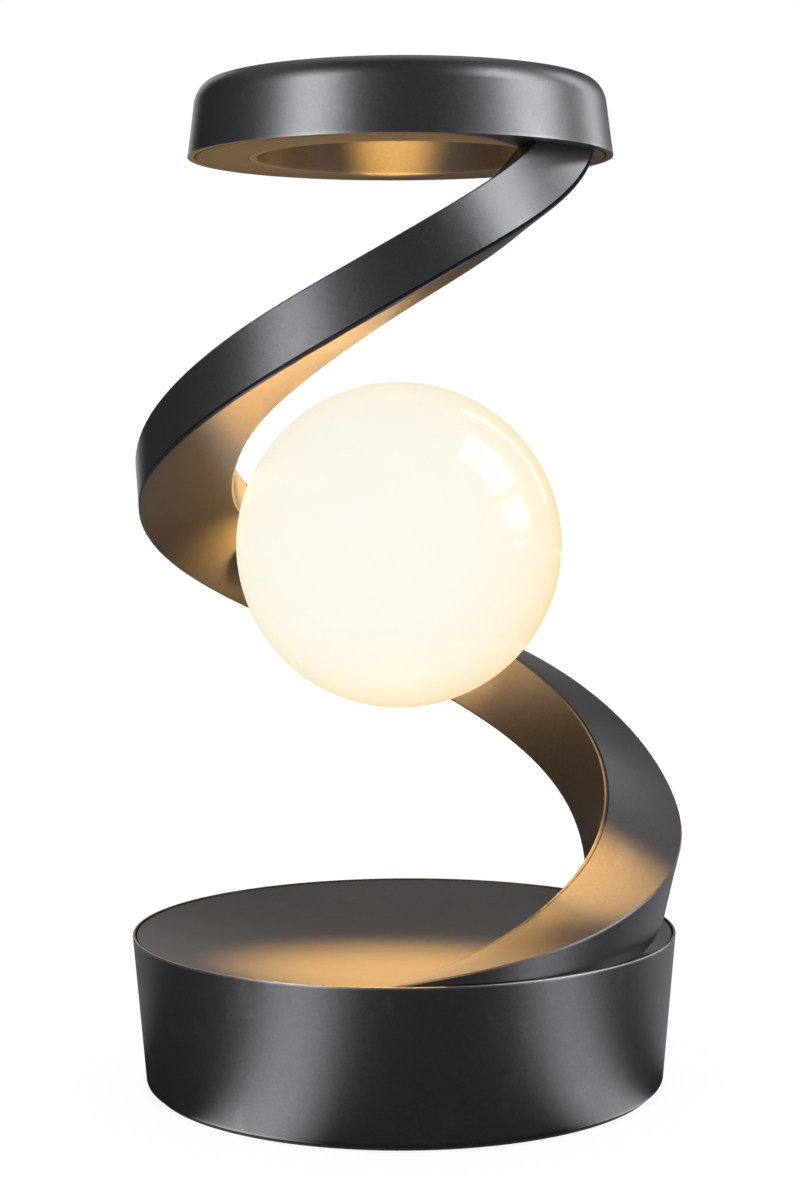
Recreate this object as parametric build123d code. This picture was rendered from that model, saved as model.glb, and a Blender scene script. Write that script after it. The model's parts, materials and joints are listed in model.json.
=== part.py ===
from build123d import *
import math
import os

import numpy as np

# A table lamp: a drum with a dished top, a twisting arm that climbs once round a lit globe, and a
# ring on the arm's tip. The globe hangs on a magnet behind it, where the arm comes nearest.
# Frame: millimetres, +Z up, the origin on the table under the drum's axis, the front towards -Y.
# A bearing is an angle about Z in degrees, from +X towards +Y, so the front is at -90.

# ---- Drum ----
DRUM_RIM_RADIUS = 75.6        # outside, at the top edge
DRUM_TAPER = 3.5              # how much smaller the radius is where the side meets the underside
DRUM_HEIGHT = 43.0            # table to rim
DRUM_WALL = 2.0
DRUM_FOOT_ROUND = 1.6
RIM_BEVEL = 0.35
RIM_LIP = 0.7                 # the thin edge outside the step that the dish drops into
RIM_REBATE_DEPTH = 3.2
FOOT_HEIGHT = 1.2             # the black pad that the lamp stands on
FOOT_INSET = 2.2
COVER_INSET = 4.7
COVER_THICKNESS = 1.6
FLANGE_LAP = 6.5              # of the inward flange that the bottom cover closes against
FLANGE_THICKNESS = 2.0
SLIP_GAP = 0.3                # between pieces that drop into each other
LAP_GAP = 0.15                # between curved faces that lie against each other
FIT_GAP = 0.05                # between a screw and its hole

# ---- Dished top ----
DISH_GAP = 0.5                # the dark line between the dish and the rim
DISH_DEPTH = 11.0             # rim to the lowest point of the dish
DISH_DROP = 0.4               # how far the dish's edge lies below the rim
DISH_THICKNESS = 1.8
POST_PITCH_RADIUS = 48.0
POST_RADIUS = 4.0
POST_BEARINGS = (45, 135, 225, 315)
POST_HOLE_DEPTH = 12.0
COVER_SCREW_RADIUS = 1.5
COVER_SCREW_LENGTH = 9.0
COVER_SCREW_HEAD_RADIUS = 2.8
COVER_SCREW_HEAD_HEIGHT = 1.1

# ---- Ballast and the electronics on it ----
BALLAST_GAP = 3.0             # between the plate and the flange that it goes in through
BALLAST_THICKNESS = 8.0
SPACER_RADIUS = 2.3
SPACER_HEIGHT = 5.0
BOARD_WIDTH = 44.0
BOARD_LENGTH = 38.3
BOARD_PANEL_GAP = 0.5
BOARD_THICKNESS = 1.6
BOARD_SCREW_X = 18.0
BOARD_SCREW_ROWS = (14.3, 34.3)  # distances in front of the board's rear edge
BOARD_SCREW_RADIUS = 1.25
BOARD_SCREW_LENGTH = 5.0
BOARD_SCREW_HEAD_RADIUS = 2.2
BOARD_SCREW_HEAD_HEIGHT = 1.4
INDUCTOR_RADIUS = 5.0
INDUCTOR_HEIGHT = 5.0
INDUCTOR_PLACE = (-12.0, 25.3)   # from the lamp's middle plane, and in front of the rear edge
CAPACITOR_RADIUS = 3.15
CAPACITOR_HEIGHT = 7.0
CAPACITOR_PLACES = ((0.0, 22.3), (8.0, 22.3))
CHIP_SIZES = (
    ((6.0, 5.0, 1.2), (-7.0, 11.3)),
    ((5.0, 4.0, 1.0), (-8.0, 34.3)),
    ((3.0, 3.0, 0.9), (15.0, 24.3)),
)
CONNECTOR_SIZE = (8.0, 6.0, 5.0)
CONNECTOR_PLACE = (6.0, 34.3)

# ---- Rear panel, inlet and power button ----
WINDOW_WIDTH = 36.0
WINDOW_HEIGHT = 13.0
WINDOW_ROUND = 2.0
PANEL_SINK = 5.2              # the panel's face lies this far inside the rim's radius
PANEL_THICKNESS = 5.6
PANEL_FLANGE_THICKNESS = 3.8
PANEL_LIP = 3.0               # how far the panel's flange reaches behind the wall
INLET_X = -8.0
INLET_WIDTH = 8.94
INLET_HEIGHT = 3.26
INLET_WALL = 0.31
INLET_LENGTH = 8.6
TONGUE_WIDTH = 6.7
TONGUE_THICKNESS = 0.7
TONGUE_PLUG_LENGTH = 1.5
TONGUE_SINK = 1.1             # how far the tongue's tip lies behind the panel's face
BUTTON_X = 9.0
BUTTON_RADIUS = 4.0
BUTTON_FLANGE_RADIUS = 4.9
BUTTON_FLANGE_THICKNESS = 1.0
BUTTON_STANDS_OUT = 1.5
BUTTON_TRAVEL = 1.5
BUTTON_GAP = 0.2
BUTTON_EDGE_ROUND = 0.5
SWITCH_WIDTH = 7.0
SWITCH_LENGTH = 8.0
SWITCH_HEIGHT = 6.4
PLUNGER_RADIUS = 1.5
PLUNGER_GAP = 0.08
PLUNGER_DEPTH = 3.3

# ---- Arm: sections along its climb ----
# bearing, reach of the section's middle from Z, its height above the rim when the ring hangs
# CLIMB above it, its roll about the path, width of the upper face, depth of the inner face.
# Between them the arm runs smoothly.
ARM_STATIONS = (
    (-100, 63.5, -13.5, -13, 22.0, 18.0),
    (-70, 64.0, -5.5, -5, 22.5, 18.0),
    (-40, 61.5, 4.5, 9, 21.5, 16.5),
    (-10, 63.5, 17.0, 13, 23.0, 19.0),
    (20, 64.5, 36.0, 14, 21.0, 20.0),
    (60, 65.5, 61.0, 8, 20.5, 21.5),
    (100, 66.0, 82.5, 2, 19.0, 23.0),
    (140, 64.5, 106.5, -42, 16.5, 27.0),
    (180, 60.0, 126.0, -85, 16.5, 26.5),
    (220, 58.5, 149.0, -92, 16.0, 17.0),
    (260, 56.0, 172.5, -93, 15.0, 16.5),
    (290, 53.5, 189.5, -105, 15.0, 14.0),
    (320, 48.0, 205.5, -112, 16.0, 12.5),
    (350, 43.5, 220.5, -126, 17.0, 12.5),
)
CLIMB = 213.1                 # rim to the ring's underside, as the stations were measured
ARM_STEP = 10                 # degrees between the sections that the arm is drawn through
ARM_BEVEL = 0.4
ARM_WALL = 2.2
ARM_HOLLOW_FROM = -48         # below this bearing the foot is solid
ARM_HOLLOW_TO = 300           # above it the tip is solid
COVER_STRIP = 1.0             # thickness of the lining strip on the inner face
COVER_SEAM = 0.2
FOOT_SCREW_BEARINGS = (-72, -58)
FOOT_SCREW_REACH = 64.0
FOOT_SCREW_RADIUS = 2.0
FOOT_SCREW_HEAD_RADIUS = 3.5
FOOT_SCREW_HEAD_HEIGHT = 2.4
FOOT_SCREW_LENGTH = 8.2
FOOT_BOSS_RADIUS = 5.0
FOOT_BOSS_DROP = 0.5          # the bosses end this far below the dish, at their inner side
LEAD_RADIUS = 1.1
LEAD_HOLE_BEARING = -44
LEAD_HOLE_REACH = 60.0
LEAD_HOLE_RADIUS = 1.8
GROMMET_RADIUS = 2.9
GROMMET_FLANGE_RADIUS = 4.4
GROMMET_FLANGE_HEIGHT = 1.2
LEAD_STEP = 16                # degrees of bearing between the lead's bends in the arm
LEAD_ARM_FROM = -30
LEAD_ARM_TO = 114
LEAD_BEND_SHARE = 0.3         # of the shorter run that a bend takes up
LEAD_FLOOR_ROUTE = ((6.0, 12.0), (20.0, -2.0), (35.0, -14.0))
LEAD_HIGH_TURN = 3.0          # above the rim, where the lead turns along the arm
LEAD_END_DEPTH = 13.8         # behind the arm's near side, in the hollow of the seat's cup
LEAD_END_OFFSET = 4.0         # from the seat's axis

# ---- Globe and its magnetic seat ----
GLOBE_X = -0.9
GLOBE_ABOVE_SEAT = 3.3        # its centre, above the arm's middle at the seat
GLOBE_RADIUS = 45.0
GLOBE_WALL = 2.4
SEAT_BEARING = 135
NECK_WALL = 2.0
NECK_LENGTH = 6.9             # inwards from the collar's face
LUG_COUNT = 3
LUG_SPAN = 30.0
LUG_DEPTH = 1.4
LUG_DROP = 5.0                # the lugs' inner side, inwards from the collar's face
LUG_THICKNESS = 1.6
COLLAR_NECK_GAP = 0.4
COLLAR_SINK = 1.6             # the face that meets the magnet, inside the globe's surface
COLLAR_FACE_THICKNESS = 3.0
COLLAR_RIM_WIDTH = 2.6        # round the strike plate
COLLAR_BARREL_STEP = 1.4
COLLAR_BARREL_WALL = 1.6
COLLAR_LENGTH = 8.4
COLLAR_TAB_THICKNESS = 2.0
LUG_CLEARANCE = 0.4
STRIKE_MARGIN = 1.6           # how far the strike plate reaches past the seat's cup
STRIKE_BORE_RADIUS = 4.1
STRIKE_THICKNESS = 1.5
PAD_CARRIER_RADIUS = 4.0
PAD_DEPTH = 0.5
PAD_CENTRE_RADIUS = 1.1
PAD_RING_INNER = 1.7
PAD_RING_OUTER = 3.0
PIN_OFFSET = 2.35
POST_SCREW_PITCH = 7.4
POST_SCREW_RADIUS = 1.0
POST_SCREW_LENGTH = 5.4
POST_SCREW_HEAD_RADIUS = 1.8
POST_SCREW_HEAD_HEIGHT = 0.9
LED_POST_RADIUS = 6.0
LED_POST_FLANGE_THICKNESS = 2.0
LED_POST_TIP_LENGTH = 2.0     # the bare end beyond the lamps' sleeve
LED_POST_BORE = 1.8
LED_BOARD_THICKNESS = 0.8
LED_BOARD_DROP = 13.4         # inwards from the collar's face
LED_BOARD_LENGTH = 36.0
LED_ROWS = 5
LED_COLUMNS = 6
LED_SIZE = (2.8, 3.5, 0.8)

SEAT_GAP = 0.3                # between the seat and the globe's collar
SEAT_CUP_RADIUS = 8.0
SEAT_CUP_WALL = 0.7
ARM_NEAR_SIDE = 43.7          # where the arm begins at the seat, from the globe's centre
SEAT_CUP_LENGTH = 19.0        # in the arm; it reaches further out to a smaller globe
SEAT_SLEEVE_WALL = 1.4
SEAT_SLEEVE_SINK = 0.5
CUP_TAIL_RADIUS = 5.5         # the hollow behind the contacts, where the lead ends
MAGNET_THICKNESS = 5.0
MAGNET_BORE_GAP = 0.2
MAGNET_SINK = 0.5             # how far the magnet lies behind the cup's edge
CONTACT_BLOCK_RADIUS = 3.6
CONTACT_BLOCK_LENGTH = 10.0
BARREL_RADIUS = 0.85
PIN_RADIUS = 0.5
PIN_GAP = 0.06
PIN_TRAVEL = 0.8
PIN_STANDS_OUT = 0.3
PIN_LENGTH = 5.0
BARREL_LENGTH = 7.5

# ---- Ring ----
RING_RISE = 213.1             # rim to the ring's underside
RING_HEIGHT = 20.1
RING_FOOT_RADIUS = 58.2
RING_SHOULDER_RADIUS = 56.3
RING_SHOULDER_HEIGHT = 14.4   # above the ring's underside, where the side starts to curve over
RING_CROWN_RADIUS = 51.5      # where the curve runs out on the flat top
RING_HOLE_RADIUS = 39.6
RING_HOLE_ROUND = 1.2
RING_WALL = 1.8
RING_CURVE_PULLS = (1.0, 1.0)  # how strongly the outer curve leaves its two ends
RING_INNER_PULLS = (1.0, 1.0)
UNDERPLATE_THICKNESS = 2.0
UNDERPLATE_GAP = 0.2
UNDERPLATE_TAPER = 0.35       # what the leaning wall takes off the plate's radius
RING_SCREW_BEARINGS = (325, 333)
RING_SCREW_REACH = 48.5
RING_SCREW_RADIUS = 1.5
RING_SCREW_DEPTH = 5.5
ARM_TRIM_GAP = 0.4            # the arm's tip stays this far outside the ring's hole
ARM_TRIM_HEIGHT = 12.0
RING_SCREW_HEAD_RADIUS = 2.8
RING_SCREW_HEAD_HEIGHT = 2.0

# ---- Heights and places worked out from the sizes above ----
DRUM_FOOT_RADIUS = DRUM_RIM_RADIUS - DRUM_TAPER
RIM_REBATE_RADIUS = DRUM_RIM_RADIUS - RIM_LIP
DISH_RADIUS = RIM_REBATE_RADIUS - DISH_GAP
FOOT_OUTER_RADIUS = DRUM_FOOT_RADIUS - FOOT_INSET
COVER_RADIUS = DRUM_FOOT_RADIUS - COVER_INSET
FLANGE_INNER_RADIUS = COVER_RADIUS - FLANGE_LAP
BALLAST_RADIUS = FLANGE_INNER_RADIUS - BALLAST_GAP
COVER_TOP = FOOT_HEIGHT + COVER_THICKNESS
FLANGE_TOP = COVER_TOP + FLANGE_THICKNESS
BALLAST_TOP = COVER_TOP + BALLAST_THICKNESS
BOARD_BOTTOM = BALLAST_TOP + SPACER_HEIGHT
BOARD_TOP = BOARD_BOTTOM + BOARD_THICKNESS
SHELF_HEIGHT = DRUM_HEIGHT - RIM_REBATE_DEPTH
DISH_EDGE = DRUM_HEIGHT - DISH_DROP
DISH_LOW = DRUM_HEIGHT - DISH_DEPTH
DISH_BALL_RADIUS = (DISH_RADIUS ** 2 + (DISH_EDGE - DISH_LOW) ** 2) / (2 * (DISH_EDGE - DISH_LOW))
DISH_BALL_HEIGHT = DISH_LOW + DISH_BALL_RADIUS
PANEL_FACE_Y = DRUM_RIM_RADIUS - PANEL_SINK
PANEL_BACK_Y = PANEL_FACE_Y - PANEL_THICKNESS
BOARD_REAR_Y = PANEL_BACK_Y - BOARD_PANEL_GAP
INLET_Z = BOARD_TOP + INLET_HEIGHT / 2
BUTTON_Z = BOARD_TOP + SWITCH_HEIGHT / 2
BUTTON_BACK_Y = PANEL_BACK_Y - BUTTON_GAP - BUTTON_FLANGE_THICKNESS
SWITCH_FRONT_Y = BUTTON_BACK_Y - BUTTON_TRAVEL - SLIP_GAP
WINDOW_Z = BUTTON_Z
FOOT_BOSS_REACH = min(FOOT_SCREW_REACH, LEAD_HOLE_REACH) - FOOT_BOSS_RADIUS
FOOT_BOSS_ROOT = DISH_BALL_HEIGHT - math.sqrt((DISH_BALL_RADIUS + DISH_THICKNESS) ** 2 - FOOT_BOSS_REACH ** 2)
FOOT_BOSS_BOTTOM = round(FOOT_BOSS_ROOT - FOOT_BOSS_DROP, 1)
FOOT_SCREW_TOP = FOOT_BOSS_BOTTOM + FOOT_SCREW_LENGTH
LEAD_LEVEL = BOARD_TOP + CONNECTOR_SIZE[2] / 2
RING_BOTTOM = DRUM_HEIGHT + RING_RISE
RING_TOP = RING_BOTTOM + RING_HEIGHT
# From here on, distances run from the globe's centre to the seat.
COLLAR_FACE = GLOBE_RADIUS - COLLAR_SINK
COLLAR_BACK = COLLAR_FACE - COLLAR_FACE_THICKNESS
STRIKE_BACK = COLLAR_FACE - STRIKE_THICKNESS
PAD_FACE = COLLAR_FACE - PIN_STANDS_OUT
LUG_LOW = COLLAR_FACE - LUG_DROP
LED_BOARD_START = COLLAR_FACE - LED_BOARD_DROP
LED_BOARD_END = LED_BOARD_START - LED_BOARD_LENGTH
LED_POST_TIP = LED_BOARD_END - LED_POST_TIP_LENGTH
SEAT_FACE = COLLAR_FACE + SEAT_GAP
SEAT_BACK = ARM_NEAR_SIDE + SEAT_CUP_LENGTH
LEAD_END_REACH = ARM_NEAR_SIDE + LEAD_END_DEPTH
SEAT_SLEEVE_RADIUS = SEAT_CUP_RADIUS + FIT_GAP + SEAT_SLEEVE_WALL
STRIKE_RADIUS = SEAT_CUP_RADIUS + STRIKE_MARGIN
COLLAR_RADIUS = STRIKE_RADIUS + COLLAR_RIM_WIDTH
COLLAR_BARREL_RADIUS = COLLAR_RADIUS - COLLAR_BARREL_STEP
NECK_RADIUS = COLLAR_RADIUS + COLLAR_NECK_GAP
LED_POST_FLANGE_RADIUS = COLLAR_BARREL_RADIUS - COLLAR_BARREL_WALL - SLIP_GAP


# ---- Small helpers ----
def disc(radius, low, high):
    """An upright cylinder about Z between two heights."""
    return Pos(0, 0, low) * Cylinder(radius, high - low, align=(Align.CENTER, Align.CENTER, Align.MIN))


def tube(outer, inner, low, high):
    return disc(outer, low, high) - disc(inner, low, high)


def at_bearing(bearing, reach, shape):
    """Move a shape out from Z along a bearing, without turning it."""
    angle = math.radians(bearing)
    return Pos(reach * math.cos(angle), reach * math.sin(angle), 0) * shape


def block(width, low_y, high_y, low_z, high_z, x=0.0):
    return Pos(x, (low_y + high_y) / 2, (low_z + high_z) / 2) * Box(width, high_y - low_y, high_z - low_z)


def rod_y(radius, low_y, high_y, x, z):
    """A round rod along Y."""
    return Pos(x, low_y, z) * (Rot(-90, 0, 0) * disc(radius, 0, high_y - low_y))


def slot_y(width, height, low_y, high_y, x, z):
    """A bar along Y whose section is a slot with round ends."""
    return Pos(x, low_y, z) * (Rot(-90, 0, 0) * extrude(SlotOverall(width, height), high_y - low_y))


def spun(face):
    """Turn a face drawn as (radius, height) about Z."""
    return revolve(Plane.XZ * face, Axis.Z)


def outline(*points, rounds=()):
    """A closed outline; each of the rounds is a corner of it and that corner's radius."""
    face = make_face(Polyline(*points, close=True))
    for (x, y), radius in rounds:
        corner = min(face.vertices(), key=lambda vertex: math.hypot(vertex.X - x, vertex.Y - y))
        face = fillet(corner, radius)
    return face


def sector(inner, outer, low, high, middle, span):
    """A piece of a tube that spans an angle about a middle bearing."""
    face = outline((inner, low), (outer, low), (outer, high), (inner, high))
    return Rot(0, 0, middle - span / 2) * revolve(Plane.XZ * face, Axis.Z, span)


def countersunk_screw(radius, length, head_radius, head_height):
    """A screw with its flat head at z = 0 and its shank towards -Z."""
    return spun(outline((0, 0), (head_radius, 0), (radius, -head_height), (radius, -length), (0, -length)))


def pan_screw(radius, length, head_radius, head_height):
    """A screw whose head stands on z = 0 and whose shank runs towards -Z."""
    return disc(head_radius, 0, head_height) + disc(radius, -length, 0)


def solids(*shapes):
    """Several separate solids as one piece of the drawing."""
    return Compound([solid for shape in shapes for solid in shape.solids()])


def drum_outer_radius(height):
    share = (height - FOOT_HEIGHT) / (DRUM_HEIGHT - FOOT_HEIGHT)
    return DRUM_FOOT_RADIUS + share * (DRUM_RIM_RADIUS - DRUM_FOOT_RADIUS)


def dish_height(radius, offset=0.0):
    """Height of the dish's upper face, or of a face that lies an offset below it."""
    return DISH_BALL_HEIGHT - math.sqrt((DISH_BALL_RADIUS + offset) ** 2 - radius ** 2)


def above_dish(offset=0.0):
    """The ball whose underside is the dish's upper face, or lies an offset below it."""
    return Pos(0, 0, DISH_BALL_HEIGHT) * Sphere(DISH_BALL_RADIUS + offset)


# ---- Drum ----
def make_drum():
    inner_foot = drum_outer_radius(FLANGE_TOP) - DRUM_WALL
    inner_shelf = drum_outer_radius(SHELF_HEIGHT) - DRUM_WALL
    cover_seat = COVER_RADIUS + SLIP_GAP
    foot_corner = (DRUM_FOOT_RADIUS, FOOT_HEIGHT)
    rim_corner = (DRUM_RIM_RADIUS, DRUM_HEIGHT)
    face = outline(
        (cover_seat, FOOT_HEIGHT),
        foot_corner,
        rim_corner,
        (RIM_REBATE_RADIUS, DRUM_HEIGHT),
        (RIM_REBATE_RADIUS, SHELF_HEIGHT),
        (inner_shelf, SHELF_HEIGHT),
        (inner_foot, FLANGE_TOP),
        (FLANGE_INNER_RADIUS, FLANGE_TOP),
        (FLANGE_INNER_RADIUS, COVER_TOP),
        (cover_seat, COVER_TOP),
        rounds=((foot_corner, DRUM_FOOT_ROUND), (rim_corner, RIM_BEVEL)),
    )
    window = block(WINDOW_WIDTH, PANEL_BACK_Y, DRUM_RIM_RADIUS + DRUM_WALL,
                   WINDOW_Z - WINDOW_HEIGHT / 2, WINDOW_Z + WINDOW_HEIGHT / 2)
    window = fillet(window.edges().filter_by(Axis.Y), WINDOW_ROUND)
    return spun(face) - window


def make_foot_pad():
    return disc(FOOT_OUTER_RADIUS, 0, FOOT_HEIGHT)


def make_cover_screws():
    screw = countersunk_screw(COVER_SCREW_RADIUS, COVER_SCREW_LENGTH,
                              COVER_SCREW_HEAD_RADIUS, COVER_SCREW_HEAD_HEIGHT)
    screw = Pos(0, 0, FOOT_HEIGHT) * (Rot(180, 0, 0) * screw)
    return solids(*[at_bearing(bearing, POST_PITCH_RADIUS, screw) for bearing in POST_BEARINGS])


def make_bottom_cover():
    hole = countersunk_screw(COVER_SCREW_RADIUS + FIT_GAP, COVER_SCREW_LENGTH,
                             COVER_SCREW_HEAD_RADIUS + FIT_GAP, COVER_SCREW_HEAD_HEIGHT)
    hole = Pos(0, 0, FOOT_HEIGHT) * (Rot(180, 0, 0) * hole)
    cover = disc(COVER_RADIUS, FOOT_HEIGHT, COVER_TOP)
    for bearing in POST_BEARINGS:
        cover -= at_bearing(bearing, POST_PITCH_RADIUS, hole)
    return cover


def make_dish():
    """A bowl-shaped plate with four posts, two screw bosses and a boss round the lead's hole."""
    ball_under = DISH_BALL_RADIUS + DISH_THICKNESS
    shelf_radius = math.sqrt(ball_under ** 2 - (DISH_BALL_HEIGHT - SHELF_HEIGHT) ** 2)
    halfway = DISH_RADIUS / 2
    face = make_face([
        *ThreePointArc((0, DISH_LOW), (halfway, dish_height(halfway)), (DISH_RADIUS, DISH_EDGE)).edges(),
        *Line((DISH_RADIUS, DISH_EDGE), (DISH_RADIUS, SHELF_HEIGHT)).edges(),
        *Line((DISH_RADIUS, SHELF_HEIGHT), (shelf_radius, SHELF_HEIGHT)).edges(),
        *ThreePointArc((shelf_radius, SHELF_HEIGHT), (halfway, dish_height(halfway, DISH_THICKNESS)),
                       (0, DISH_LOW - DISH_THICKNESS)).edges(),
        *Line((0, DISH_LOW - DISH_THICKNESS), (0, DISH_LOW)).edges(),
    ])
    dish = spun(face)
    post_bottom = COVER_TOP + SLIP_GAP
    raised = [(bearing, POST_PITCH_RADIUS, POST_RADIUS, post_bottom) for bearing in POST_BEARINGS]
    raised += [(bearing, FOOT_SCREW_REACH, FOOT_BOSS_RADIUS, FOOT_BOSS_BOTTOM)
               for bearing in FOOT_SCREW_BEARINGS]
    raised += [(LEAD_HOLE_BEARING, LEAD_HOLE_REACH, FOOT_BOSS_RADIUS, FOOT_BOSS_BOTTOM)]
    middle = above_dish(DISH_THICKNESS / 2)
    for bearing, reach, radius, bottom in raised:
        dish += at_bearing(bearing, reach, disc(radius, bottom, DISH_EDGE)) - middle
    for bearing in POST_BEARINGS:
        hole = disc(COVER_SCREW_RADIUS + FIT_GAP, post_bottom, post_bottom + POST_HOLE_DEPTH)
        dish -= at_bearing(bearing, POST_PITCH_RADIUS, hole)
    for bearing in FOOT_SCREW_BEARINGS:
        hole = disc(FOOT_SCREW_RADIUS + FIT_GAP, FOOT_BOSS_BOTTOM, DISH_EDGE)
        dish -= at_bearing(bearing, FOOT_SCREW_REACH, hole)
    lead_hole = disc(GROMMET_RADIUS + FIT_GAP, FOOT_BOSS_BOTTOM, DISH_EDGE)
    return dish - at_bearing(LEAD_HOLE_BEARING, LEAD_HOLE_REACH, lead_hole)


def make_lead_grommet():
    """A rubber bush round the lead, cut to the dish's upper face."""
    bush = disc(GROMMET_RADIUS, FOOT_BOSS_BOTTOM, DISH_EDGE)
    flange = disc(GROMMET_FLANGE_RADIUS, FOOT_BOSS_BOTTOM - GROMMET_FLANGE_HEIGHT, FOOT_BOSS_BOTTOM)
    bore = disc(LEAD_RADIUS + FIT_GAP, FOOT_BOSS_BOTTOM - GROMMET_FLANGE_HEIGHT, DISH_EDGE)
    return at_bearing(LEAD_HOLE_BEARING, LEAD_HOLE_REACH, bush + flange - bore) - above_dish()


def make_foot_screws():
    screw = Rot(180, 0, 0) * pan_screw(FOOT_SCREW_RADIUS, FOOT_SCREW_TOP - FOOT_BOSS_BOTTOM,
                                       FOOT_SCREW_HEAD_RADIUS, FOOT_SCREW_HEAD_HEIGHT)
    screw = Pos(0, 0, FOOT_BOSS_BOTTOM) * screw
    return solids(*[at_bearing(bearing, FOOT_SCREW_REACH, screw) for bearing in FOOT_SCREW_BEARINGS])


# ---- Inside the drum ----
def make_ballast():
    plate = disc(BALLAST_RADIUS, COVER_TOP, BALLAST_TOP)
    for bearing in POST_BEARINGS:
        plate -= at_bearing(bearing, POST_PITCH_RADIUS, disc(POST_RADIUS + SLIP_GAP, COVER_TOP, BALLAST_TOP))
    return plate


def board_screw_places():
    return [(x, BOARD_REAR_Y - row) for x in (-BOARD_SCREW_X, BOARD_SCREW_X) for row in BOARD_SCREW_ROWS]


def on_board(place, shape):
    """Set a shape at a place given from the middle plane and in front of the board's rear edge."""
    x, forwards = place
    return Pos(x, BOARD_REAR_Y - forwards, BOARD_TOP) * shape


def chip(width, length, height):
    return block(width, -length / 2, length / 2, 0, height)


def make_board_spacers():
    spacer = tube(SPACER_RADIUS, BOARD_SCREW_RADIUS + FIT_GAP, BALLAST_TOP, BOARD_BOTTOM)
    return solids(*[Pos(x, y, 0) * spacer for x, y in board_screw_places()])


def make_board_screws():
    screw = Pos(0, 0, BOARD_TOP) * pan_screw(BOARD_SCREW_RADIUS, BOARD_SCREW_LENGTH,
                                             BOARD_SCREW_HEAD_RADIUS, BOARD_SCREW_HEAD_HEIGHT)
    return solids(*[Pos(x, y, 0) * screw for x, y in board_screw_places()])


def make_driver_board():
    """The circuit board, notched at the back so that the power button's flange can pass."""
    board = block(BOARD_WIDTH, BOARD_REAR_Y - BOARD_LENGTH, BOARD_REAR_Y, BOARD_BOTTOM, BOARD_TOP)
    for x, y in board_screw_places():
        board -= Pos(x, y, 0) * disc(BOARD_SCREW_RADIUS + FIT_GAP, BOARD_BOTTOM, BOARD_TOP)
    notch_width = 2 * (BUTTON_FLANGE_RADIUS + SLIP_GAP)
    return board - block(notch_width, SWITCH_FRONT_Y, PANEL_BACK_Y, BOARD_BOTTOM, BOARD_TOP, BUTTON_X)


def make_board_inductor():
    return on_board(INDUCTOR_PLACE, disc(INDUCTOR_RADIUS, 0, INDUCTOR_HEIGHT))


def make_board_capacitors():
    can = disc(CAPACITOR_RADIUS, 0, CAPACITOR_HEIGHT)
    return solids(*[on_board(place, can) for place in CAPACITOR_PLACES])


def make_board_chips():
    return solids(*[on_board(place, chip(*size)) for size, place in CHIP_SIZES])


def make_lead_connector():
    return on_board(CONNECTOR_PLACE, chip(*CONNECTOR_SIZE))


# ---- Rear panel, inlet and power button ----
def make_rear_panel():
    """A plastic panel: its raised face fills the drum's window, its flange lies behind the wall."""
    gap = DRUM_WALL + LAP_GAP
    inside = spun(outline((0, FLANGE_TOP), (drum_outer_radius(FLANGE_TOP) - gap, FLANGE_TOP),
                          (drum_outer_radius(SHELF_HEIGHT) - gap, SHELF_HEIGHT), (0, SHELF_HEIGHT)))
    half = WINDOW_HEIGHT / 2
    flange = block(WINDOW_WIDTH + 2 * PANEL_LIP, PANEL_BACK_Y, PANEL_BACK_Y + PANEL_FLANGE_THICKNESS,
                   WINDOW_Z - half - PANEL_LIP, WINDOW_Z + half + PANEL_LIP) & inside
    face = block(WINDOW_WIDTH - 2 * SLIP_GAP, PANEL_BACK_Y, PANEL_FACE_Y,
                 WINDOW_Z - half + SLIP_GAP, WINDOW_Z + half - SLIP_GAP)
    face = fillet(face.edges().filter_by(Axis.Y), WINDOW_ROUND - SLIP_GAP)
    panel = flange + face
    panel -= slot_y(INLET_WIDTH + 2 * FIT_GAP, INLET_HEIGHT + 2 * FIT_GAP, PANEL_BACK_Y, PANEL_FACE_Y,
                    INLET_X, INLET_Z)
    return panel - rod_y(BUTTON_RADIUS + BUTTON_GAP, PANEL_BACK_Y, PANEL_FACE_Y, BUTTON_X, BUTTON_Z)


def make_power_inlet():
    """The inlet's metal shell, open to the rear."""
    front = PANEL_FACE_Y - SLIP_GAP
    back = front - INLET_LENGTH
    shell = slot_y(INLET_WIDTH, INLET_HEIGHT, back, front, INLET_X, INLET_Z)
    return shell - slot_y(INLET_WIDTH - 2 * INLET_WALL, INLET_HEIGHT - 2 * INLET_WALL, back, front,
                          INLET_X, INLET_Z)


def make_inlet_tongue():
    """The insulator that closes the shell's back and carries the contact tongue."""
    back = PANEL_FACE_Y - SLIP_GAP - INLET_LENGTH
    plug_end = back + TONGUE_PLUG_LENGTH
    inner = INLET_WALL + FIT_GAP
    plug = slot_y(INLET_WIDTH - 2 * inner, INLET_HEIGHT - 2 * inner, back, plug_end, INLET_X, INLET_Z)
    tongue = block(TONGUE_WIDTH, plug_end, PANEL_FACE_Y - TONGUE_SINK, INLET_Z - TONGUE_THICKNESS / 2,
                   INLET_Z + TONGUE_THICKNESS / 2, INLET_X)
    return plug + tongue


def make_push_switch():
    body = block(SWITCH_WIDTH, SWITCH_FRONT_Y - SWITCH_LENGTH, SWITCH_FRONT_Y, BOARD_TOP,
                 BOARD_TOP + SWITCH_HEIGHT, BUTTON_X)
    depth = PLUNGER_DEPTH + BUTTON_TRAVEL + SLIP_GAP
    return body - rod_y(PLUNGER_RADIUS + PLUNGER_GAP, SWITCH_FRONT_Y - depth, SWITCH_FRONT_Y,
                        BUTTON_X, BUTTON_Z)


def make_switch_plunger():
    return rod_y(PLUNGER_RADIUS, SWITCH_FRONT_Y - PLUNGER_DEPTH, BUTTON_BACK_Y, BUTTON_X, BUTTON_Z)


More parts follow.
